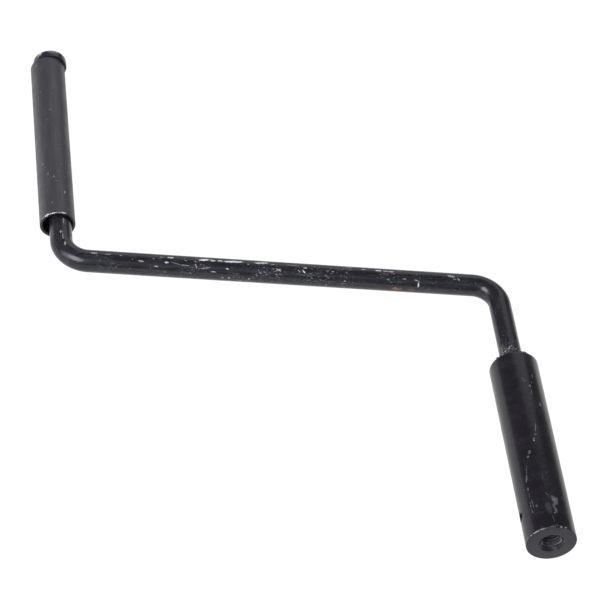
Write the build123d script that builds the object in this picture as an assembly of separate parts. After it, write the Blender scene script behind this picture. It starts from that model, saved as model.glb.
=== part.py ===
"""Crank handle: a bent steel bar with a threaded hub on one leg and a loose grip sleeve on the other.

Frame: origin on the hub's axis in the plane of its mouth, +Y along the hub away from the mouth,
+X from the grip leg towards the hub, +Z square to the plane of the crank. Millimetres.
"""

import math
import os

from build123d import *

# ---- Crank bar: round bar bent twice in one plane, into a Z ----
bar_dia = 12.0
arm_span = 238.0  # hub axis to grip leg axis
bend_radius = 13.5  # on the bar's centreline
hub_leg_straight = 45.0  # hub's back face to the start of the bend
bar_end_chamfer = 1.0  # on the end that enters the hub

# ---- Threaded hub: turned round bar with a blind tapped hole in its mouth ----
hub_dia = 26.0
hub_length = 118.0
hub_mouth_chamfer = 0.6
hub_back_round = 1.4
tap_drill_dia = 10.2  # tapping size of M12 x 1.75
tapped_depth = 40.0  # mouth to the start of the drill point
drill_point_angle = 118.0
countersink_dia = 13.4
countersink_angle = 90.0

# ---- Set screw hole: one radial hole from the grip side into the tapped hole ----
set_screw_hole_dia = 5.0  # tapping size of M6
set_screw_from_mouth = 17.0
set_screw_below_plane = 8.0  # degrees below the plane of the crank
set_screw_edge_break = 0.3

# ---- The bar's seat in the hub's back, and the fillet weld round it ----
bar_seat_depth = 14.0
bar_seat_clearance = 0.05  # radial
bar_seat_floor_gap = 0.3
weld_leg = 5.0  # along the bar, and out across the hub's back
weld_crown = 0.6  # how far the bead bulges past a straight fillet

# ---- Grip sleeve: a tube that turns and floats on the grip leg ----
sleeve_dia = 19.0
sleeve_wall = 1.5
sleeve_length = 123.7
sleeve_edge_break = 0.25
sleeve_float = 12.8  # end of the bend to the sleeve's near end
sleeve_hang_gap = 0.3  # bar to bore, where the sleeve hangs on the bar
sleeve_hang_angle = 45.0  # degrees below the plane of the crank, outwards

# ---- End collar: a thick ring that keeps the sleeve on, plug-welded to the bar's end ----
collar_dia = 18.5
collar_thickness = 4.7
collar_edge_round = 1.2
collar_gap = 0.3  # sleeve to collar
collar_bore_clearance = 0.05  # radial
collar_countersink_depth = 1.5
collar_countersink_angle = 90.0
plug_weld_crown = 1.2  # how far the weld stands out of the collar

# ---- Places that follow from the sizes ----
arm_y = hub_length + hub_leg_straight + bend_radius
sleeve_start_y = arm_y + bend_radius + sleeve_float
sleeve_end_y = sleeve_start_y + sleeve_length
collar_inner_y = sleeve_end_y + collar_gap
collar_outer_y = collar_inner_y + collar_thickness
bar_end_y = collar_outer_y - collar_countersink_depth
sleeve_bore_dia = sleeve_dia - 2 * sleeve_wall
sleeve_hang = (sleeve_bore_dia - bar_dia) / 2 - sleeve_hang_gap
sleeve_axis_x = -arm_span - sleeve_hang * math.cos(math.radians(sleeve_hang_angle))
sleeve_axis_z = -sleeve_hang * math.sin(math.radians(sleeve_hang_angle))


def turned(profile):
    """Revolve a closed profile, given in (radius, length) on the XY plane, about the Y axis."""
    return revolve(profile, axis=Axis.Y, revolution_arc=360)


def crank_bar():
    """Hub leg, arm and grip leg as one swept bar."""
    seat_y = hub_length - bar_seat_depth + bar_seat_floor_gap
    route = FilletPolyline(
        (0, seat_y, 0),
        (0, arm_y, 0),
        (-arm_span, arm_y, 0),
        (-arm_span, bar_end_y, 0),
        radius=bend_radius,
    )
    section = Plane(origin=(0, seat_y, 0), z_dir=(0, 1, 0)) * Circle(bar_dia / 2)
    bar = sweep(section, path=route)
    seat_edge = bar.edges().filter_by(GeomType.CIRCLE).sort_by(Axis.Y)[0]
    return chamfer(seat_edge, bar_end_chamfer)


def threaded_hub():
    """Round bar, drilled and countersunk for the thread at its mouth and for the bar at its back."""
    outer = hub_dia / 2
    drill = tap_drill_dia / 2
    mouth = countersink_dia / 2
    seat = bar_dia / 2 + bar_seat_clearance
    countersink_depth = (mouth - drill) / math.tan(math.radians(countersink_angle / 2))
    point_depth = drill / math.tan(math.radians(drill_point_angle / 2))
    body = turned(
        make_face(
            Polyline(
                (0, tapped_depth + point_depth),
                (drill, tapped_depth),
                (drill, countersink_depth),
                (mouth, 0),
                (outer - hub_mouth_chamfer, 0),
                (outer, hub_mouth_chamfer),
                (outer, hub_length),
                (seat, hub_length),
                (seat, hub_length - bar_seat_depth),
                (0, hub_length - bar_seat_depth),
                close=True,
            )
        )
    )
    back_rim = body.edges().filter_by(GeomType.CIRCLE).group_by(Axis.Y)[-1].sort_by(SortBy.RADIUS)[-1]
    body = fillet(back_rim, hub_back_round)
    inwards = Vector(1, 0, 0).rotate(Axis.Y, -set_screw_below_plane)
    start = Vector(0, set_screw_from_mouth, 0) - inwards * hub_dia
    hole = Plane(origin=start, z_dir=inwards) * Cylinder(
        set_screw_hole_dia / 2, hub_dia, align=(Align.CENTER, Align.CENTER, Align.MIN)
    )
    body -= hole
    rims = body.edges().filter_by(
        lambda e: e.geom_type not in (GeomType.CIRCLE, GeomType.LINE)
    )
    outer_rim = rims.sort_by(lambda e: e.center().X)[0]
    return chamfer(outer_rim, set_screw_edge_break)


def hub_weld():
    """Fillet weld bead between the bar and the hub's back face."""
    bar = bar_dia / 2
    toe = (bar + weld_leg, hub_length)
    top = (bar, hub_length + weld_leg)
    bulge = weld_leg / 2 + weld_crown * math.sqrt(0.5)
    crown = (bar + bulge, hub_length + bulge)
    bead = Polyline(top, (bar, hub_length), toe) + ThreePointArc(toe, crown, top)
    return turned(make_face(bead))


def grip_sleeve():
    """Plain tube with its edges broken, hanging on the bar."""
    wall = Pos(sleeve_dia / 2 - sleeve_wall / 2, sleeve_length / 2) * Rectangle(
        sleeve_wall, sleeve_length
    )
    wall = chamfer(wall.vertices(), sleeve_edge_break)
    return Pos(sleeve_axis_x, sleeve_start_y, sleeve_axis_z) * turned(wall)


def end_collar():
    """Ring with a rounded outer edge and a countersunk bore."""
    bore = bar_dia / 2 + collar_bore_clearance
    outer = collar_dia / 2
    flare = collar_countersink_depth * math.tan(math.radians(collar_countersink_angle / 2))
    ring = turned(
        make_face(
            Polyline(
                (bore, 0),
                (outer, 0),
                (outer, collar_thickness),
                (bore + flare, collar_thickness),
                (bore, collar_thickness - collar_countersink_depth),
                close=True,
            )
        )
    )
    land = outer - bore - flare
    outer_face_edges = ring.edges().filter_by(GeomType.CIRCLE).group_by(Axis.Y)[-1]
    outer_edge = outer_face_edges.sort_by(SortBy.RADIUS)[-1]
    return Pos(-arm_span, collar_inner_y, 0) * fillet(outer_edge, min(collar_edge_round, 0.8 * land))


def plug_weld():
    """Weld that fills the collar's countersink over the bar's end and stands out as a low dome."""
    bore = bar_dia / 2 + collar_bore_clearance
    flare = collar_countersink_depth * math.tan(math.radians(collar_countersink_angle / 2))
    rim = bore + flare
    depth = collar_countersink_depth
    dome_radius = (rim**2 + plug_weld_crown**2) / (2 * plug_weld_crown)
    half_angle = math.asin(rim / dome_radius) / 2
    top = depth + plug_weld_crown
    mid = (dome_radius * math.sin(half_angle), top - dome_radius * (1 - math.cos(half_angle)))
    outline = Polyline((0, top), (0, 0), (bore, 0), (rim, depth))
    outline += ThreePointArc((rim, depth), mid, (0, top))
    return Pos(-arm_span, bar_end_y, 0) * turned(make_face(outline))


os.makedirs("parts", exist_ok=True)
pieces = {
    "crank_bar": crank_bar(),
    "threaded_hub": threaded_hub(),
    "hub_weld": hub_weld(),
    "grip_sleeve": grip_sleeve(),
    "end_collar": end_collar(),
    "plug_weld": plug_weld(),
}
for name, piece in pieces.items():
    export_step(piece, f"parts/{name}.step")
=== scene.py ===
import math

import bpy
from mathutils import Matrix, Vector


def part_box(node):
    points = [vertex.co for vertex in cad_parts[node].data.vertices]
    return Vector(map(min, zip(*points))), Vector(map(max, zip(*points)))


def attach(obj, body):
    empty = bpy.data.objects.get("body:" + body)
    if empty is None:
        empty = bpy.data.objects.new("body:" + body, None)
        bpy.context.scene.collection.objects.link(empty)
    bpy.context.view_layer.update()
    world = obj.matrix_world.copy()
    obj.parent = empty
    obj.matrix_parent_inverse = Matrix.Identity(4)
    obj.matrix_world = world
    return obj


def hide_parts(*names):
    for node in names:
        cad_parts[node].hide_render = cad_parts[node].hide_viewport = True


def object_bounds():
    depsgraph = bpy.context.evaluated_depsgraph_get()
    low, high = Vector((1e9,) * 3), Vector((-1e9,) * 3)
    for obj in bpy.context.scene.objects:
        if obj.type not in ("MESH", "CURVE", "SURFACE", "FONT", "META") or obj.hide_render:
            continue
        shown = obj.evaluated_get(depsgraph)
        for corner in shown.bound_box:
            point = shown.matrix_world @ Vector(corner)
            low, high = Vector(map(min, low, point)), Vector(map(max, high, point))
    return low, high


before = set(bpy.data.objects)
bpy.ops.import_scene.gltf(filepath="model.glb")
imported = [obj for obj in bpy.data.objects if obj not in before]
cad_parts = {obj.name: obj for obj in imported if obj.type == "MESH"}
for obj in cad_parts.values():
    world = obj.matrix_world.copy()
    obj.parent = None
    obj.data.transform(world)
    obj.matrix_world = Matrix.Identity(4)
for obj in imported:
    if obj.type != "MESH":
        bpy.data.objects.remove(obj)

CAD_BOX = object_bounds()
MM = 0.001

# The crank's own lines, read from the parts in model.glb.
HUB_LOW, HUB_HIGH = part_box("threaded_hub")
BAR_LOW, BAR_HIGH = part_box("crank_bar")
SLEEVE_LOW, SLEEVE_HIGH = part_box("grip_sleeve")
WELD_LOW, WELD_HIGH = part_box("hub_weld")
PLUG_LOW, PLUG_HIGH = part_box("plug_weld")
COLLAR_LOW, COLLAR_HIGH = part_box("end_collar")
HUB_RADIUS = (HUB_HIGH.z - HUB_LOW.z) / 2
HUB_LENGTH = HUB_HIGH.y - HUB_LOW.y
BAR_RADIUS = (BAR_HIGH.z - BAR_LOW.z) / 2
GRIP_AXIS = BAR_LOW.x + BAR_RADIUS
SLEEVE_RADIUS = (SLEEVE_HIGH.x - SLEEVE_LOW.x) / 2
SLEEVE_CENTRE = (SLEEVE_LOW + SLEEVE_HIGH) / 2
COLLAR_RADIUS = (COLLAR_HIGH.x - COLLAR_LOW.x) / 2
LEG_STRAIGHT = 45.0 * MM
BEND_RADIUS = 13.5 * MM
ARM_LINE = HUB_LENGTH + LEG_STRAIGHT + BEND_RADIUS

# Hub machining.
MOUTH_CHAMFER = 0.6 * MM
BACK_ROUND = 1.4 * MM
TAP_DRILL_RADIUS = 5.1 * MM
TAPPED_DEPTH = 40.0 * MM
DRILL_POINT_ANGLE = math.radians(118)
COUNTERSINK_RADIUS = 6.7 * MM
COUNTERSINK_DEPTH = COUNTERSINK_RADIUS - TAP_DRILL_RADIUS
SEAT_RADIUS = BAR_RADIUS + 0.05 * MM
SEAT_DEPTH = 14.0 * MM
THREAD_RADIUS = 6.0 * MM
THREAD_PITCH = 1.75 * MM
THREAD_TURNS = 20
SCREW_HOLE_RADIUS = 2.5 * MM
SCREW_HOLE_FROM_MOUTH = 17.0 * MM
SCREW_HOLE_DROP = math.radians(8)
SCREW_THREAD_RADIUS = 3.0 * MM
SCREW_THREAD_PITCH = 1.0 * MM
SCREW_THREAD_TURNS = 8
SCREW_THREAD_START = HUB_RADIUS - 7 * MM
HUB_SIDES = 144
NEAR = 0.01 * MM

# Welds: overlapping ripples of a hand-laid bead.
WELD_RIPPLES = 30
WELD_GRAIN = 0.28 * MM
PLUG_RIPPLES = 9
WELD_MIDDLE = 1.8 * MM

# Wear, paint and painted shade.
MARK_DEPTH = 1.2 * MM
SPATTER_SIZE = 1.1 * MM
SPATTER_FROM = HUB_LENGTH + 15 * MM
SPATTER_FULL = HUB_LENGTH + 6 * MM
SLEEVE_UNSHADED_RIM = 0.25 * MM


# ---------------------------------------------------------------- mesh tools

def clear_selection():
    if bpy.context.object and bpy.context.object.mode != "OBJECT":
        bpy.ops.object.mode_set(mode="OBJECT")
    bpy.ops.object.select_all(action="DESELECT")


def pick(piece):
    clear_selection()
    piece.select_set(True)
    bpy.context.view_layer.objects.active = piece


def settle(piece):
    """The piece's place and turn go into its mesh."""
    pick(piece)
    bpy.ops.object.transform_apply(location=True, rotation=True, scale=True)


def select_edges(piece, wanted):
    """In edit mode, only the edges whose two ends both answer to wanted."""
    pick(piece)
    bpy.ops.object.mode_set(mode="EDIT")
    bpy.ops.mesh.select_mode(type="EDGE")
    bpy.ops.mesh.select_all(action="DESELECT")
    bpy.ops.object.mode_set(mode="OBJECT")
    points = piece.data.vertices
    for edge in piece.data.edges:
        edge.select = all(wanted(points[i].co) for i in edge.vertices)
    bpy.ops.object.mode_set(mode="EDIT")


def select_faces(piece, wanted):
    """In edit mode, only the faces that answer to wanted."""
    pick(piece)
    bpy.ops.object.mode_set(mode="EDIT")
    bpy.ops.mesh.select_mode(type="FACE")
    bpy.ops.mesh.select_all(action="DESELECT")
    bpy.ops.object.mode_set(mode="OBJECT")
    for face in piece.data.polygons:
        face.select = wanted(face)
    bpy.ops.object.mode_set(mode="EDIT")


def off_axis(point):
    return math.hypot(point.x, point.z)


def cut_with(piece, cutter):
    """The cutter is taken out of the piece and then thrown away."""
    cut = piece.modifiers.new("cut", "BOOLEAN")
    cut.operation = "DIFFERENCE"
    cut.solver = "EXACT"
    cut.object = cutter
    pick(piece)
    bpy.ops.object.modifier_apply(modifier=cut.name)
    bpy.data.objects.remove(cutter)


def finish_piece(piece, name, stands_for):
    """A finished piece of the crank, shown in place of its plain solid."""
    settle(piece)
    piece.name = name
    piece.data.name = name
    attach(piece, "crank")
    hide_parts(stands_for)
    return piece


# ---------------------------------------------------------------- threaded hub

def tap(radius, drill_radius, pitch, turns, steps):
    """The coil of metal that a tap takes out, along +Y from the origin.

    It reaches a little inside the drilled wall, so that the cut is clean.
    """
    root = pitch / 8
    inside = drill_radius - pitch / 7
    depth = radius - inside
    base = root + 2 * depth * math.tan(math.radians(30))
    clear_selection()
    bpy.ops.mesh.primitive_plane_add(size=1, location=(inside + depth / 2, 0, 0))
    coil = bpy.context.object
    bpy.ops.object.mode_set(mode="EDIT")
    bpy.ops.transform.resize(value=(depth, base, 1))
    select_edges(coil, lambda p: p.x > 0)
    bpy.ops.transform.resize(value=(1, root / base, 1))
    bpy.ops.mesh.select_all(action="SELECT")
    bpy.ops.mesh.delete(type="ONLY_FACE")
    settle(coil)
    turn = coil.modifiers.new("turn", "SCREW")
    turn.axis = "Y"
    turn.screw_offset = pitch
    turn.iterations = turns
    turn.steps = steps
    turn.render_steps = steps
    turn.use_merge_vertices = False
    bpy.ops.object.modifier_apply(modifier=turn.name)
    bpy.ops.object.mode_set(mode="EDIT")
    bpy.ops.mesh.select_all(action="SELECT")
    bpy.ops.mesh.fill_holes(sides=4)
    bpy.ops.mesh.normals_make_consistent(inside=False)
    clear_selection()
    return coil


def screw_hole_place():
    """From a tool standing along +Y to the set screw's line in the hub."""
    lay = Matrix.Rotation(math.radians(90), 4, "Z")
    sink = Matrix.Rotation(-SCREW_HOLE_DROP, 4, "Y")
    return Matrix.Translation((0, SCREW_HOLE_FROM_MOUTH, 0)) @ sink @ lay


def threaded_hub():
    clear_selection()
    bpy.ops.mesh.primitive_cylinder_add(
        vertices=HUB_SIDES,
        radius=HUB_RADIUS,
        depth=HUB_LENGTH,
        location=(0, HUB_LENGTH / 2, 0),
        rotation=(math.radians(90), 0, 0),
    )
    hub = bpy.context.object
    settle(hub)

    # Back round and mouth chamfer.
    select_edges(hub, lambda p: p.y > HUB_LENGTH - NEAR)
    bpy.ops.mesh.bevel(offset=BACK_ROUND, segments=8, profile=0.5, affect="EDGES")
    select_edges(hub, lambda p: p.y < NEAR)
    bpy.ops.mesh.bevel(offset=MOUTH_CHAMFER, segments=3, profile=0.6, affect="EDGES")

    # Mouth: land, countersink, tapping drill and its point.
    select_faces(hub, lambda f: f.normal.y < -0.99 and off_axis(f.center) < NEAR)
    land = HUB_RADIUS - MOUTH_CHAMFER - COUNTERSINK_RADIUS
    bpy.ops.mesh.inset(thickness=land)
    bpy.ops.mesh.inset(thickness=COUNTERSINK_DEPTH, depth=-COUNTERSINK_DEPTH)
    drill = TAPPED_DEPTH - COUNTERSINK_DEPTH
    bpy.ops.mesh.extrude_region_move(TRANSFORM_OT_translate={"value": (0, drill, 0)})
    point = TAP_DRILL_RADIUS / math.tan(DRILL_POINT_ANGLE / 2)
    bpy.ops.mesh.extrude_region_move(TRANSFORM_OT_translate={"value": (0, point, 0)})
    bpy.ops.mesh.merge(type="CENTER")

    # Back: the bore that the bar sits in.
    select_faces(hub, lambda f: f.center.y > HUB_LENGTH - NEAR and off_axis(f.center) < NEAR)
    bpy.ops.mesh.inset(thickness=HUB_RADIUS - BACK_ROUND - SEAT_RADIUS)
    bpy.ops.mesh.extrude_region_move(TRANSFORM_OT_translate={"value": (0, -SEAT_DEPTH, 0)})

    # Set screw hole, drilled in from the side towards the grip.
    clear_selection()
    bpy.ops.mesh.primitive_cylinder_add(
        vertices=48,
        radius=SCREW_HOLE_RADIUS,
        depth=HUB_RADIUS * 1.2,
        location=(0, HUB_RADIUS * 0.75, 0),
        rotation=(math.radians(90), 0, 0),
    )
    drilling = bpy.context.object
    settle(drilling)
    drilling.data.transform(screw_hole_place())
    cut_with(hub, drilling)

    # The threads in both holes.
    thread = tap(THREAD_RADIUS, TAP_DRILL_RADIUS, THREAD_PITCH, THREAD_TURNS, 64)
    thread.data.transform(Matrix.Translation((0, -THREAD_PITCH, 0)))
    cut_with(hub, thread)
    screw_thread = tap(
        SCREW_THREAD_RADIUS, SCREW_HOLE_RADIUS, SCREW_THREAD_PITCH, SCREW_THREAD_TURNS, 32
    )
    start = Matrix.Translation((0, SCREW_THREAD_START, 0))
    screw_thread.data.transform(screw_hole_place() @ start)
    cut_with(hub, screw_thread)

    pick(hub)
    bpy.ops.object.shade_smooth_by_angle(angle=math.radians(32))
    return finish_piece(hub, "threaded_hub_tapped", "threaded_hub")


# ---------------------------------------------------------------- welds

def droplet(radius, thickness, place, lean):
    """One ripple of a bead: a ball pressed thin across its path, leaning back."""
    clear_selection()
    bpy.ops.mesh.primitive_uv_sphere_add(segments=24, ring_count=16, radius=radius)
    ripple = bpy.context.object
    bpy.ops.object.mode_set(mode="EDIT")
    bpy.ops.transform.resize(value=(1, 1, thickness))
    bpy.ops.object.mode_set(mode="OBJECT")
    ripple.data.transform(Matrix.Translation(place) @ Matrix.Rotation(lean, 4, "X"))
    return ripple


def run_together(pieces, grain, smoothing):
    """Pieces of weld metal flow into one skin."""
    pick(pieces[0])
    for piece in pieces:
        piece.select_set(True)
    bpy.ops.object.join()
    bead = bpy.context.object
    skin = bead.modifiers.new("skin", "REMESH")
    skin.mode = "VOXEL"
    skin.voxel_size = grain
    bpy.ops.object.modifier_apply(modifier=skin.name)
    flow = bead.modifiers.new("flow", "SMOOTH")
    flow.factor = 0.5
    flow.iterations = smoothing
    bpy.ops.object.modifier_apply(modifier=flow.name)
    bpy.ops.object.shade_smooth()
    return bead


def around(piece, count, angle_of, size_of):
    """Copies of the piece round the Y axis, each with its own mesh, turn and size."""
    copies = []
    for i in range(1, count):
        copy = piece.copy()
        copy.data = piece.data.copy()
        bpy.context.scene.collection.objects.link(copy)
        turn = Matrix.Rotation(angle_of(i), 4, "Y")
        copy.data.transform(turn @ Matrix.Scale(size_of(i), 4))
        copies.append(copy)
    return copies


def hub_weld():
    """A ring of filler in the corner and the ripples over it, as shares of the weld's leg."""
    leg = WELD_HIGH.y - HUB_LENGTH
    clear_selection()
    bpy.ops.mesh.primitive_torus_add(
        major_segments=96,
        minor_segments=16,
        major_radius=BAR_RADIUS + leg * 0.36,
        minor_radius=leg * 0.40,
        location=(0, HUB_LENGTH + leg * 0.34, 0),
        rotation=(math.radians(90), 0, 0),
    )
    root = bpy.context.object
    settle(root)
    start = (BAR_RADIUS + leg * 0.34, 0, 0)
    ripple = droplet(leg * 0.60, 0.34, start, math.radians(24))
    step = math.tau / WELD_RIPPLES
    copies = around(
        ripple,
        WELD_RIPPLES,
        lambda i: i * step + 0.03 * math.sin(5.1 * i),
        lambda i: 1 + 0.02 * math.sin(2.3 * i),
    )
    for piece in [ripple, *copies]:
        piece.data.transform(Matrix.Translation((0, HUB_LENGTH + leg * 0.30, 0)))
    bead = run_together([root, ripple, *copies], WELD_GRAIN, 3)
    return finish_piece(bead, "hub_weld_bead", "hub_weld")


def plug_weld():
    """A low pool of weld metal with its ripples, as shares of the pool's radius and crown."""
    width = (PLUG_HIGH.z - PLUG_LOW.z) / 2
    crown = PLUG_HIGH.y - COLLAR_HIGH.y
    centre = (PLUG_LOW + PLUG_HIGH) / 2
    clear_selection()
    bpy.ops.mesh.primitive_uv_sphere_add(segments=48, ring_count=24, radius=1)
    pool = bpy.context.object
    bpy.ops.object.mode_set(mode="EDIT")
    bpy.ops.transform.resize(value=(width * 0.97, crown * 0.92, width * 0.97))
    ripple = droplet(width * 0.42, 0.40, (width * 0.46, 0, 0), math.radians(30))
    step = math.tau / PLUG_RIPPLES
    copies = around(ripple, PLUG_RIPPLES, lambda i: i * step, lambda i: 1 - 0.02 * i)
    for piece in [ripple, *copies]:
        piece.data.transform(Matrix.Scale(0.42, 4, (0, 1, 0)))
    bead = run_together([pool, ripple, *copies], WELD_GRAIN, 4)
    bead.data.transform(Matrix.Translation((centre.x, COLLAR_HIGH.y, centre.z)))
    return finish_piece(bead, "plug_weld_bead", "plug_weld")


# ---------------------------------------------------------------- finishes

class Finish:
    """A paint finish being mixed: its material, its nodes and its one shader."""

    def __init__(self, name):
        self.material = bpy.data.materials.new(name)
        self.material.use_nodes = True
        self.tree = self.material.node_tree
        self.tree.nodes.clear()
        self.shader = self.add("ShaderNodeBsdfPrincipled")
        surface = self.add("ShaderNodeOutputMaterial")
        self.tree.links.new(self.shader.outputs["BSDF"], surface.inputs["Surface"])
        self.place = self.add("ShaderNodeTexCoord").outputs["Object"]

    def add(self, kind, feeds=(), **settings):
        node = self.tree.nodes.new(kind)
        for name, value in settings.items():
            setattr(node, name, value)
        for socket, value in feeds:
            if isinstance(value, bpy.types.NodeSocket):
                self.tree.links.new(value, node.inputs[socket])
            else:
                node.inputs[socket].default_value = value
        return node

    def calc(self, operation, first, second=0.0):
        feeds = [(0, first), (1, second)]
        return self.add("ShaderNodeMath", feeds, operation=operation).outputs[0]

    def ease(self, value, low, high, out_low=0.0, out_high=1.0):
        """value from low to high becomes out_low to out_high, smoothly."""
        feeds = [("Value", value), ("From Min", low), ("From Max", high)]
        feeds += [("To Min", out_low), ("To Max", out_high)]
        node = self.add("ShaderNodeMapRange", feeds, interpolation_type="SMOOTHSTEP")
        return node.outputs["Result"]

    def stretched(self, lengths):
        """Coordinates in which a pattern is as long as lengths say along X, Y and Z."""
        feeds = [("Vector", self.place), ("Scale", lengths)]
        return self.add("ShaderNodeMapping", feeds, vector_type="TEXTURE").outputs["Vector"]

    def mottle(self, size, detail=2.0, roughness=0.5, where=None):
        feeds = [("Vector", where or self.place), ("Scale", 1 / size)]
        feeds += [("Detail", detail), ("Roughness", roughness)]
        return self.add("ShaderNodeTexNoise", feeds).outputs["Fac"]

    def tint(self, factor, first, second):
        node = self.add("ShaderNodeMix", data_type="RGBA")
        for socket, value in ((0, factor), (6, first), (7, second)):
            if isinstance(value, bpy.types.NodeSocket):
                self.tree.links.new(value, node.inputs[socket])
            else:
                node.inputs[socket].default_value = value
        return node.outputs[2]

    def feed(self, socket, value):
        if isinstance(value, bpy.types.NodeSocket):
            self.tree.links.new(value, self.shader.inputs[socket])
        else:
            self.shader.inputs[socket].default_value = value

    def relief(self, height, depth):
        feeds = [("Height", height), ("Distance", depth), ("Strength", 1.0)]
        bump = self.add("ShaderNodeBump", feeds)
        self.tree.links.new(bump.outputs["Normal"], self.shader.inputs["Normal"])

    def ragged(self, size, amount):
        """The object's own coordinates, pulled about a little so that marks get torn edges."""
        noise = self.add("ShaderNodeTexNoise", [("Vector", self.place), ("Scale", 1 / size)])
        middle = self.add("ShaderNodeVectorMath", operation="SUBTRACT")
        self.tree.links.new(noise.outputs["Color"], middle.inputs[0])
        middle.inputs[1].default_value = (0.5, 0.5, 0.5)
        pull = self.add("ShaderNodeVectorMath", operation="SCALE")
        self.tree.links.new(middle.outputs[0], pull.inputs[0])
        pull.inputs["Scale"].default_value = amount * 2
        moved = self.add("ShaderNodeVectorMath", operation="ADD")
        self.tree.links.new(self.place, moved.inputs[0])
        self.tree.links.new(pull.outputs[0], moved.inputs[1])
        return moved.outputs[0]

    def marks(self, where, marks):
        """All the marks in one mask, each mixed in as it is made, and broken up by grit."""
        total = mark(self, where, *marks[0])
        for each in marks[1:]:
            total = self.calc("MAXIMUM", total, mark(self, where, *each))
        broken = self.ease(self.mottle(0.55 * MM, 2.0, 0.6), 0.36, 0.56, 0.15, 1.0)
        return self.calc("MULTIPLY", total, broken)


class Run:
    """A straight round length of the crank, measured along it and round it."""

    def __init__(self, start, along, up, radius):
        self.start = Vector(start)
        self.along = Vector(along)
        self.up = Vector(up)
        self.side = Vector((0, 0, 1))
        self.radius = radius

    def point(self, along, turn):
        turn = math.radians(turn)
        out = math.cos(turn) * self.up + math.sin(turn) * self.side
        return self.start + along * MM * self.along + self.radius * out, out


HUB = Run((0, 0, 0), (0, 1, 0), (1, 0, 0), HUB_RADIUS)
HUB_LEG = Run((0, 0, 0), (0, 1, 0), (1, 0, 0), BAR_RADIUS)
HUB_WELD = Run((0, 0, 0), (0, 1, 0), (1, 0, 0), BAR_RADIUS + WELD_MIDDLE)
ARM = Run((0, ARM_LINE, 0), (-1, 0, 0), (0, 1, 0), BAR_RADIUS)
GRIP_END = Run((GRIP_AXIS, 0, 0), (0, 1, 0), (1, 0, 0), COLLAR_RADIUS)
GRIP_LEG = Run((GRIP_AXIS, 0, 0), (0, 1, 0), (1, 0, 0), BAR_RADIUS)
SLEEVE = Run((SLEEVE_CENTRE.x, 0, SLEEVE_CENTRE.z), (0, 1, 0), (1, 0, 0), SLEEVE_RADIUS)


def mark(finish, where, run, start, end, width, strength):
    """A rub, chip or painted highlight from start to end, each (mm along the run, degrees round it).
    """
    first, out = run.point(*start)
    last, out_too = run.point(*end)
    out = (out + out_too).normalized()
    length = last - first
    lie = length.normalized() if length.length > 1e-6 else run.along
    across = out.cross(lie).normalized()
    turn = Matrix((lie, across, out)).transposed().to_euler()
    half = (length.length / 2 + width * MM / 2, width * MM / 2, MARK_DEPTH)
    feeds = [("Vector", where), ("Location", (first + last) / 2), ("Rotation", turn), ("Scale", half)]
    mapped = finish.add("ShaderNodeMapping", feeds, vector_type="TEXTURE").outputs["Vector"]
    reach = finish.add("ShaderNodeVectorMath", [(0, mapped)], operation="LENGTH").outputs["Value"]
    return finish.ease(reach, 1.15, 0.65, 0.0, strength)


def on(run, marks):
    return [(run, *each) for each in marks]


# Marks and painted highlights: start and end as (mm along, degrees round), width in mm, strength.
HUB_MARKS = (
    ((102, 71), (100, 72), 0.9, 0.45),
    ((97, 76), (96, 77), 0.8, 0.35),
    ((94, 84), (93, 84), 1.3, 0.6),
    ((91, 82), (87, 85), 0.5, 0.5),
    ((83, 66), (81, 66), 1.1, 0.9),
    ((99, 99), (98, 97), 1.2, 0.22),
    ((97, 95), (97, 93), 1.4, 0.22),
    ((68, 90), (62, 95), 0.4, 0.75),
    ((60.5, 96), (60, 97), 1.3, 0.35),
    ((58, 101), (56, 103), 1.1, 0.8),
    ((50, 118), (49, 119), 1.4, 0.6),
    ((47, 123), (46.5, 124), 1.1, 0.5),
    ((42, 131), (36, 136), 0.6, 0.35),
    ((36, 136), (32, 140), 0.9, 0.4),
    ((28, 140), (27, 140), 0.9, 0.5),
    ((25, 140), (21, 140), 0.5, 0.3),
    ((36, 93), (35, 89), 0.5, 0.3),
    ((34, 100), (31, 102), 0.4, 0.25),
    ((20.2, 136), (15, 136), 0.5, 0.45),
    ((19.5, 141), (14, 143), 0.4, 0.4),
    ((13.5, 141), (12.5, 140), 0.8, 0.4),
    ((16, 129), (15, 127), 1.0, 0.3),
    ((22, 102), (20, 97), 0.5, 0.4),
    ((20.2, 93), (19, 79), 0.7, 0.5),
    ((19, 79), (17, 80), 1.6, 0.5),
    ((17, 80), (14, 90), 1.8, 0.5),
    ((14, 90), (10, 86), 1.5, 0.5),
    ((19, 88), (15.5, 83), 2.6, 0.55),
    ((15, 104), (10, 101), 3.0, 0.12),
    ((10.5, 86), (9, 92), 0.9, 0.5),
    ((7.5, 98), (3.5, 96), 0.4, 0.35),
    ((1.5, 104), (1.3, 86), 0.35, 0.5),
    ((0.5, 150), (0.5, 134), 0.7, 1.6),
    ((0.5, 133), (0.5, 118), 0.6, 1.4),
    ((0.5, 117), (0.5, 92), 0.35, 0.8),
    ((0.5, 84.5), (0.5, 81.5), 0.8, 1.8),
    ((0.5, 73.5), (0.5, 70.5), 0.8, 1.8),
    ((0.5, 159), (0.5, 155), 0.7, 1.4),
    ((0.8, 178), (0.6, 168), 0.5, 0.8),
)
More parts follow.
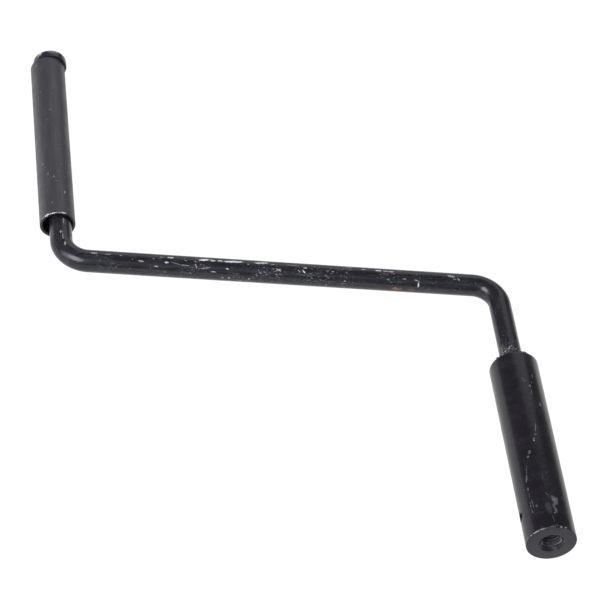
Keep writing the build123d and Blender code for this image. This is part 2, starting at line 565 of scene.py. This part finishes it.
ARM_MARKS = (
    ((223.5, 87), (221, 87), 1.0, 0.6),
    ((216, 89), (213.5, 89), 1.0, 0.25),
    ((208.5, 92), (207.5, 92), 0.7, 0.35),
    ((198.5, 116), (196, 119), 0.9, 0.5),
    ((190.6, 99), (190, 99), 0.7, 0.4),
    ((186.5, 87), (185.8, 87), 0.7, 0.6),
    ((182.5, 84), (180, 84), 1.1, 1.3),
    ((184.3, 116), (182.8, 116), 0.8, 0.9),
    ((189.6, 139), (188.2, 140), 0.8, 0.45),
    ((181, 112), (176, 124), 0.35, 0.45),
    ((176, 124), (171, 126), 0.35, 0.5),
    ((173.6, 98), (172.8, 98), 0.7, 0.35),
    ((168, 115), (167.3, 137), 0.5, 0.6),
    ((165.5, 88), (161, 82), 1.6, 1.5),
    ((166, 139), (160, 128), 0.4, 0.5),
    ((159.4, 87), (157.6, 87), 1.2, 1.4),
    ((155.6, 85), (153.6, 85), 1.1, 1.0),
    ((152, 88), (142.5, 82), 1.5, 1.5),
    ((159.3, 149), (157, 149), 0.6, 0.6),
    ((151.4, 129), (150.4, 129), 0.9, 0.6),
    ((153.3, 181), (152.5, 181), 0.8, 0.3),
    ((149.6, 178), (148.8, 178), 0.8, 0.3),
    ((138.7, 178), (138.1, 178), 0.7, 0.5),
    ((135.3, 84), (128.5, 78), 1.2, 1.2),
    ((126.4, 88), (125, 88), 0.6, 0.6),
    ((139.8, 97), (139, 97), 0.6, 0.4),
    ((124.5, 110), (121.5, 124), 0.5, 0.55),
    ((124.5, 124), (121.5, 112), 0.5, 0.5),
    ((119, 84), (111, 84), 0.35, 0.4),
    ((109, 97), (107.5, 97), 0.7, 0.7),
    ((109.6, 112), (108.6, 125), 0.7, 0.85),
    ((112, 113), (111.2, 122), 0.5, 0.6),
    ((104.8, 100), (104.2, 104), 0.4, 0.35),
    ((93.6, 106), (92.4, 112), 0.4, 0.55),
    ((85, 71), (81.5, 71), 0.8, 0.4),
    ((77, 81), (75.2, 81), 0.8, 0.6),
    ((69, 82), (66.2, 82), 1.0, 1.1),
    ((64.5, 83), (62.5, 83), 0.9, 0.9),
    ((61.5, 84), (59.5, 84), 0.9, 0.9),
    ((54.3, 124), (52.6, 124), 0.8, 0.3),
    ((45.3, 132), (45.3, 162), 0.8, 0.8),
    ((47.5, 126), (45.8, 128), 0.5, 0.55),
    ((28.5, 86), (25.5, 92), 1.8, 0.4),
    ((25.4, 108), (24.2, 108), 0.6, 0.45),
    ((23.2, 104), (22.6, 110), 0.7, 0.6),
)
ARM_RUST = (
    ((59.5, 181), (54.5, 181), 1.8, 0.8),
    ((50.5, 181), (47, 181), 1.3, 0.5),
    ((66, 101), (62, 101), 1.0, 0.35),
)
HUB_LEG_MARKS = (
    ((124.7, 150), (125.7, 126), 0.6, 0.55),
    ((125.7, 126), (128.2, 94), 0.4, 0.6),
)
# Painted highlights: bright crescents on the weld bead just behind the hub.
WELD_PAINTED_HIGHLIGHTS = (
    ((120.5, 152), (119.6, 128), 0.8, 1.2),
    ((119.4, 124), (119.3, 108), 0.7, 0.8),
    ((119.6, 104), (120.0, 84), 0.9, 1.2),
    ((118.9, 80), (119.4, 66), 0.6, 0.8),
)
# Painted highlights: light lilac patches on the end collar and plug weld.
COLLAR_PAINTED_HIGHLIGHTS = (
    ((329.0, 142), (331.2, 122), 1.8, 1.0),
    ((330.2, 100), (330.2, 70), 2.6, 0.4),
    ((330.8, 60), (330.0, 42), 1.2, 0.3),
)
GRIP_LEG_MARKS = (
    ((201.5, 82), (197.5, 83), 0.6, 0.4),
    ((192, 101), (190.5, 101), 1.0, 0.5),
    ((190, 92), (186, 90), 0.7, 0.3),
    ((183.5, 82), (182, 82), 1.1, 0.4),
    ((180.5, 117), (179.6, 116), 0.8, 0.4),
)
SLEEVE_MARKS = (
    ((231, 102), (230, 102), 0.8, 0.4),
    ((220, 69), (218.6, 69), 1.0, 0.45),
    ((211.5, 113), (210.5, 113), 0.7, 0.35),
    # The lines at 203 mm paint a thin bright line along the upper edge of the near rim.
    ((203.2, 142), (203.2, 127), 0.9, 1.5),
    ((203.1, 127), (203.1, 100), 0.5, 0.9),
    ((203.1, 100), (203.1, 84), 0.4, 0.6),
    ((203.2, 84), (203.2, 71), 0.8, 1.3),
    ((203.2, 160), (203.2, 147), 0.5, 0.5),
)


# Colours: the enamels, what shows through their wear (on the weld enamel also its painted
# highlights), the tube's painted shade, and the cut steel.
HUB_BLACK = (0.007, 0.006, 0.009)
HUB_WORN = (0.24, 0.24, 0.26, 1)
BAR_BLACK = (0.010, 0.010, 0.013)
BAR_WORN = (0.80, 0.80, 0.84, 1)
WELD_BLACK = (0.016, 0.015, 0.020)
# Light lilac for the weld enamel's bare specks and for its painted highlights.
WELD_WORN_AND_HIGHLIGHT = (0.50, 0.48, 0.56, 1)
RUST = (0.20, 0.105, 0.07, 1)
TUBE_GREY = (0.037, 0.037, 0.043)
TUBE_RUBBED = (0.075, 0.075, 0.083, 1)
# Painted shade: near black for the tube's inside and end faces.
TUBE_PAINTED_SHADE = (0.006, 0.006, 0.007, 1)
TUBE_BARE = (0.60, 0.60, 0.63, 1)
OILY_STEEL = (0.05, 0.048, 0.052, 1)
CUT_STEEL = (0.34, 0.33, 0.36, 1)


def paint_film(paint, dark, dust_share, streaked=False):
    """The film's own colour: dusty clouds over it and, on drawn bar, streaks along its length."""
    cloud = paint.mottle(9 * MM, 3.0, 0.55)
    grit = paint.mottle(0.9 * MM, 2.0, 0.6)
    dust = paint.calc("MULTIPLY", paint.ease(cloud, 0.40, 0.72), paint.ease(grit, 0.38, 0.72))
    if streaked:
        dust = paint.calc("MAXIMUM", dust, drawn_streaks(paint))
    film = paint.tint(dust, (*dark, 1), tuple(dust_share * c for c in dark) + (1,))
    return film, cloud, grit


def on_arm(paint):
    """1 on the arm, falling to 0 on the two legs."""
    y = paint.add("ShaderNodeSeparateXYZ", [(0, paint.place)]).outputs["Y"]
    off_line = paint.calc("ABSOLUTE", paint.calc("SUBTRACT", y, ARM_LINE))
    return paint.ease(off_line, BAR_RADIUS * 1.3, BAR_RADIUS * 0.8)


def drawn_streaks(paint):
    """Faint lines left by drawing: along X on the arm, along Y on the two legs."""
    arm_lines = paint.mottle(0.9 * MM, 2.0, 0.5, paint.stretched((14, 1, 1)))
    leg_lines = paint.mottle(0.9 * MM, 2.0, 0.5, paint.stretched((1, 14, 1)))
    arm = on_arm(paint)
    leg = paint.calc("SUBTRACT", 1.0, arm)
    arm_lines = paint.calc("MULTIPLY", paint.ease(arm_lines, 0.52, 0.72), arm)
    leg_lines = paint.calc("MULTIPLY", paint.ease(leg_lines, 0.52, 0.72), leg)
    return paint.calc("ADD", arm_lines, leg_lines)


def from_axis(paint, centre):
    """Distance from a line along Y through centre."""
    feeds = [(0, paint.place), (1, (centre.x, 0, centre.z))]
    moved = paint.add("ShaderNodeVectorMath", feeds, operation="SUBTRACT").outputs[0]
    feeds = [(0, moved), (1, (1, 0, 1))]
    flat = paint.add("ShaderNodeVectorMath", feeds, operation="MULTIPLY").outputs[0]
    return paint.add("ShaderNodeVectorMath", [(0, flat)], operation="LENGTH").outputs["Value"]


def scuffed(paint):
    """Patches of short fine scratches lying along the straight of the arm, none on its bends."""
    patches = paint.ease(paint.mottle(16 * MM, 1.0, 0.5), 0.42, 0.60)
    short = paint.mottle(0.55 * MM, 2.0, 0.55, paint.stretched((3.2, 1, 1)))
    fine = paint.calc("MULTIPLY", paint.ease(short, 0.57, 0.72, 0.0, 0.28), patches)
    x = paint.add("ShaderNodeSeparateXYZ", [(0, paint.place)]).outputs["X"]
    off_middle = paint.calc("ABSOLUTE", paint.calc("SUBTRACT", x, GRIP_AXIS / 2))
    straight = paint.ease(off_middle, -GRIP_AXIS / 2 - 14 * MM, -GRIP_AXIS / 2 - 30 * MM)
    return paint.calc("MULTIPLY", paint.calc("MULTIPLY", fine, straight), on_arm(paint))


def black_enamel(name, dark, worn_and_highlight, gloss, marks, bar=False, rust=()):
    """Air-dried black enamel on steel: slightly uneven gloss, dust, chips and rubbed streaks; on the
    weld enamel the marks are painted highlights.
    """
    paint = Finish(name)
    film, cloud, grit = paint_film(paint, dark, 3.2, bar)
    bare = paint.ease(paint.mottle(1.1 * MM, 1.0, 0.4), 0.755, 0.80, 0.0, 0.3)
    # On the weld enamel these marks are painted highlights in its light lilac.
    torn = paint.ragged(0.8 * MM, 0.35 * MM)
    bare = paint.calc("MAXIMUM", paint.marks(torn, marks), bare)
    if rust:
        stain = paint.marks(paint.ragged(0.9 * MM, 0.5 * MM), rust)
        film = paint.tint(stain, film, RUST)
    if bar:
        bare = paint.calc("MAXIMUM", bare, scuffed(paint))
        y = paint.add("ShaderNodeSeparateXYZ", [(0, paint.place)]).outputs["Y"]
        near_weld = paint.ease(y, SPATTER_FROM, SPATTER_FULL)
        balls = paint.ease(paint.mottle(SPATTER_SIZE, 2.0, 0.6), 0.50, 0.70)
        balls = paint.calc("MULTIPLY", balls, near_weld)
        bare = paint.calc("MAXIMUM", bare, paint.calc("MULTIPLY", balls, 0.35))
    paint.feed("Base Color", paint.tint(bare, film, worn_and_highlight))
    sheen = paint.ease(cloud, 0.3, 0.7, gloss - 0.03, gloss + 0.05)
    paint.feed("Specular IOR Level", 0.36)
    paint.feed("Roughness", paint.calc("ADD", sheen, paint.calc("MULTIPLY", bare, 0.35)))
    peel = paint.mottle(2.4 * MM, 1.0, 0.4)
    height = paint.calc("ADD", peel, paint.calc("MULTIPLY", grit, 0.25))
    if bar:
        height = paint.calc("ADD", height, paint.calc("MULTIPLY", balls, 6.0))
    paint.relief(height, 0.045 * MM)
    return paint


def sleeve_enamel_with_painted_shade(name, marks):
    """Duller, greyer paint on the outer face; inside and on the end faces, short of the outer edge,
    the tube is painted near black as shade.
    """
    paint = Finish(name)
    film, cloud, grit = paint_film(paint, TUBE_GREY, 1.3)
    rub_lines = paint.mottle(1.1 * MM, 2.0, 0.5, paint.stretched((1, 18, 1)))
    film = paint.tint(paint.ease(rub_lines, 0.45, 0.75, 0.0, 0.35), film, TUBE_RUBBED)
    # Inside the tube and on its end faces, up to about 0.25 mm short of the outer edge, near black is
    # painted in as shade.
    reach = from_axis(paint, SLEEVE_CENTRE)
    skin = SLEEVE_RADIUS - SLEEVE_UNSHADED_RIM
    clear_of_painted_shade = paint.ease(reach, skin - 0.1 * MM, skin + 0.1 * MM)
    film = paint.tint(clear_of_painted_shade, TUBE_PAINTED_SHADE, film)
    torn = paint.ragged(0.8 * MM, 0.30 * MM)
    specks = paint.ease(paint.mottle(1.5 * MM, 1.0, 0.4), 0.74, 0.79, 0.0, 0.3)
    bare = paint.calc("MAXIMUM", paint.marks(torn, marks), specks)
    paint.feed("Base Color", paint.tint(bare, film, TUBE_BARE))
    dull = paint.ease(cloud, 0.3, 0.7, 0.40, 0.50)
    paint.feed("Roughness", dull)
    paint.relief(paint.calc("ADD", paint.mottle(1.6 * MM, 2.0, 0.5), grit), 0.02 * MM)
    return paint


def cut_thread_steel(name):
    """The tapped hole: oily dark steel that only catches light on its crests."""
    steel = Finish(name)
    stain = steel.mottle(2.5 * MM, 3.0, 0.6)
    steel.feed("Base Color", steel.tint(stain, OILY_STEEL, CUT_STEEL))
    steel.feed("Metallic", 0.9)
    steel.feed("Roughness", steel.ease(stain, 0.3, 0.7, 0.24, 0.42))
    steel.relief(steel.mottle(0.6 * MM, 2.0, 0.6), 0.02 * MM)
    return steel


# ---------------------------------------------------------------- stage

AIM = Vector((-107.2, 163.3, -8.9)) * MM
SOFTBOX_DISTANCE = 1.5
FLOOR_SIZE = 12
FLOOR_GAP = 0.2 * MM
LILAC_WHITE = (0.96, 0.95, 1.0)
COOL_WHITE = (0.94, 0.95, 1.0)
SKY_WHITE = (0.82, 0.86, 1.0)


def floor():
    clear_selection()
    below = (0, 0, CAD_BOX[0].z - FLOOR_GAP)
    bpy.ops.mesh.primitive_plane_add(size=FLOOR_SIZE, location=below)
    ground = bpy.context.object
    ground.name = "studio_floor"
    sheet = bpy.data.materials.new("white_studio_floor")
    sheet.use_nodes = True
    shader = sheet.node_tree.nodes["Principled BSDF"]
    shader.inputs["Base Color"].default_value = (0.05, 0.05, 0.05, 1)
    shader.inputs["Roughness"].default_value = 1.0
    shader.inputs["Emission Color"].default_value = (1.0, 1.0, 1.0, 1)
    shader.inputs["Emission Strength"].default_value = 1.0
    ground.data.materials.append(sheet)


def softbox(name, azimuth, elevation, width, radiance, colour=(1, 1, 1)):
    """A round soft light facing the handle; azimuth turns from the front, -Y, to the right, +X."""
    lamp = bpy.data.lights.new(name, "AREA")
    lamp.shape = "DISK"
    lamp.size = width
    lamp.energy = radiance * (math.pi * width / 2) ** 2
    lamp.color = colour
    light = bpy.data.objects.new(name, lamp)
    turn = math.radians(azimuth)
    rise = math.radians(elevation)
    level = math.cos(rise)
    way = Vector((math.sin(turn) * level, -math.cos(turn) * level, math.sin(rise)))
    light.location = AIM + way * SOFTBOX_DISTANCE
    light.rotation_mode = "QUATERNION"
    light.rotation_quaternion = way.to_track_quat("Z", "Y")
    bpy.context.scene.collection.objects.link(light)


def studio_room():
    room = bpy.data.worlds.new("studio_room")
    room.use_nodes = True
    background = room.node_tree.nodes["Background"]
    background.inputs["Color"].default_value = (0.95, 0.95, 1.0, 1)
    background.inputs["Strength"].default_value = 0.25
    bpy.context.scene.world = room


# ---------------------------------------------------------------- camera

CAMERA_DISTANCE = 1404.5 * MM
CAMERA_AZIMUTH = math.radians(18.25)
CAMERA_ELEVATION = math.radians(44.88)
CAMERA_ROLL = math.radians(16.58)
LENS_LENGTH = 155.23
SENSOR_WIDTH = 36


def camera():
    lens = bpy.data.cameras.new("camera")
    lens.lens = LENS_LENGTH
    lens.sensor_width = SENSOR_WIDTH
    eye = bpy.data.objects.new("camera", lens)
    level = math.cos(CAMERA_ELEVATION)
    look = Vector(
        (
            math.sin(CAMERA_AZIMUTH) * level,
            math.cos(CAMERA_AZIMUTH) * level,
            -math.sin(CAMERA_ELEVATION),
        )
    )
    side = Vector((math.cos(CAMERA_AZIMUTH), -math.sin(CAMERA_AZIMUTH), 0))
    upright = side.cross(look)
    right = math.cos(CAMERA_ROLL) * side + math.sin(CAMERA_ROLL) * upright
    up = math.cos(CAMERA_ROLL) * upright - math.sin(CAMERA_ROLL) * side
    turn = Matrix((right, up, -look)).transposed().to_4x4()
    eye.matrix_world = Matrix.Translation(AIM - look * CAMERA_DISTANCE) @ turn
    bpy.context.scene.collection.objects.link(eye)
    bpy.context.scene.camera = eye


# ---------------------------------------------------------------- putting it together

def dress(piece, *coats):
    piece.data.materials.clear()
    for coat in coats:
        piece.data.materials.append(coat.material)


camera()
floor()
studio_room()
softbox("key_softbox", 318, 38, 1.00, 9.5, LILAC_WHITE)
softbox("left_softbox", 294, 20, 0.80, 3.6, LILAC_WHITE)
softbox("front_fill", 0, 52, 1.10, 0.55, SKY_WHITE)
softbox("rear_strip", 165, 34, 1.10, 1.0, COOL_WHITE)
softbox("right_fill", 75, 20, 0.60, 1.2)

hub = threaded_hub()
weld = hub_weld()
plug = plug_weld()

bar_marks = on(ARM, ARM_MARKS) + on(HUB_LEG, HUB_LEG_MARKS) + on(GRIP_LEG, GRIP_LEG_MARKS)
weld_and_collar_highlights = on(HUB_WELD, WELD_PAINTED_HIGHLIGHTS) + on(GRIP_END, COLLAR_PAINTED_HIGHLIGHTS)
arm_rust = on(ARM, ARM_RUST)
hub_enamel = black_enamel("hub_enamel", HUB_BLACK, HUB_WORN, 0.26, on(HUB, HUB_MARKS))
bar_enamel = black_enamel("bar_enamel", BAR_BLACK, BAR_WORN, 0.22, bar_marks, bar=True, rust=arm_rust)
weld_enamel_and_highlights = black_enamel("weld_enamel_and_highlights", WELD_BLACK, WELD_WORN_AND_HIGHLIGHT, 0.24, weld_and_collar_highlights)
tube_enamel_and_painted_shade = sleeve_enamel_with_painted_shade("tube_enamel_and_painted_shade", on(SLEEVE, SLEEVE_MARKS))
thread_steel = cut_thread_steel("thread_steel")
dress(hub, hub_enamel, thread_steel)
# The tapped hole past its countersink is bare steel.
for face in hub.data.polygons:
    in_bore = COUNTERSINK_DEPTH * 0.9 < face.center.y < TAPPED_DEPTH * 1.2
    in_bore = in_bore and off_axis(face.center) < THREAD_RADIUS
    face.material_index = int(in_bore)
dress(weld, weld_enamel_and_highlights)
dress(plug, weld_enamel_and_highlights)
dress(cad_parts["crank_bar"], bar_enamel)
dress(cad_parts["end_collar"], weld_enamel_and_highlights)
dress(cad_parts["grip_sleeve"], tube_enamel_and_painted_shade)

bpy.context.scene.view_settings.view_transform = "Standard"
